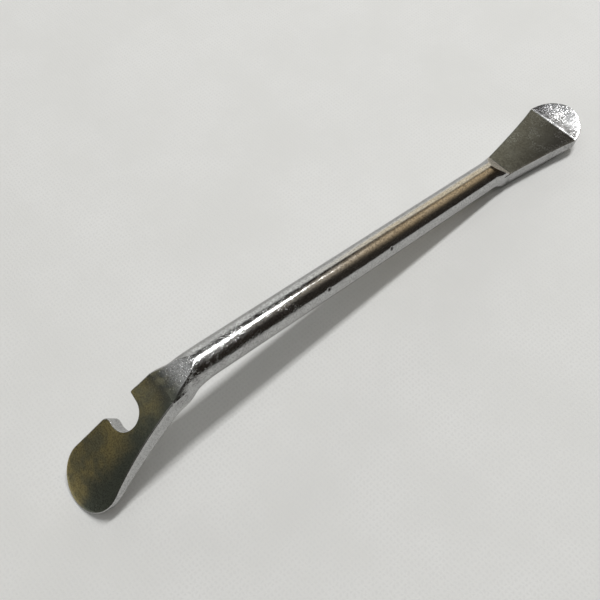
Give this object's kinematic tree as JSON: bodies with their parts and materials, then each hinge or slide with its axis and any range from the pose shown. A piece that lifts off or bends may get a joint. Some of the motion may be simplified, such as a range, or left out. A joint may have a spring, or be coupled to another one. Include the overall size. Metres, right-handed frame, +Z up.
{
  "type": "tyre lever",
  "caption": "Forged and plated steel tyre lever with a bent hook blade that has a spoke notch, a round shank and a flared spoon blade with an upturned lip.",
  "frame": {"origin": "on the surface the lever lies on, under the middle of its bounding box", "axes": "+X along the lever from the hook blade to the spoon blade, +Y to the side the spoke notch opens on, +Z up from the surface it lies on"},
  "size_m": [0.1964, 0.0188, 0.0272],
  "materials": {
    "plated_blade": "plated forged steel, tarnished yellow brown on the blade, finely pitted at the bend",
    "plated_shank": "bright plated round bar with fine pitting and a few nicks",
    "plated_spoon": "satin plated flat face, brighter pitted lip, worn edges"
  },
  "bodies": {
    "root": {"hook_blade": "plated_blade", "shank": "plated_shank", "spoon_blade": "plated_spoon"}
  },
  "joints": []
}
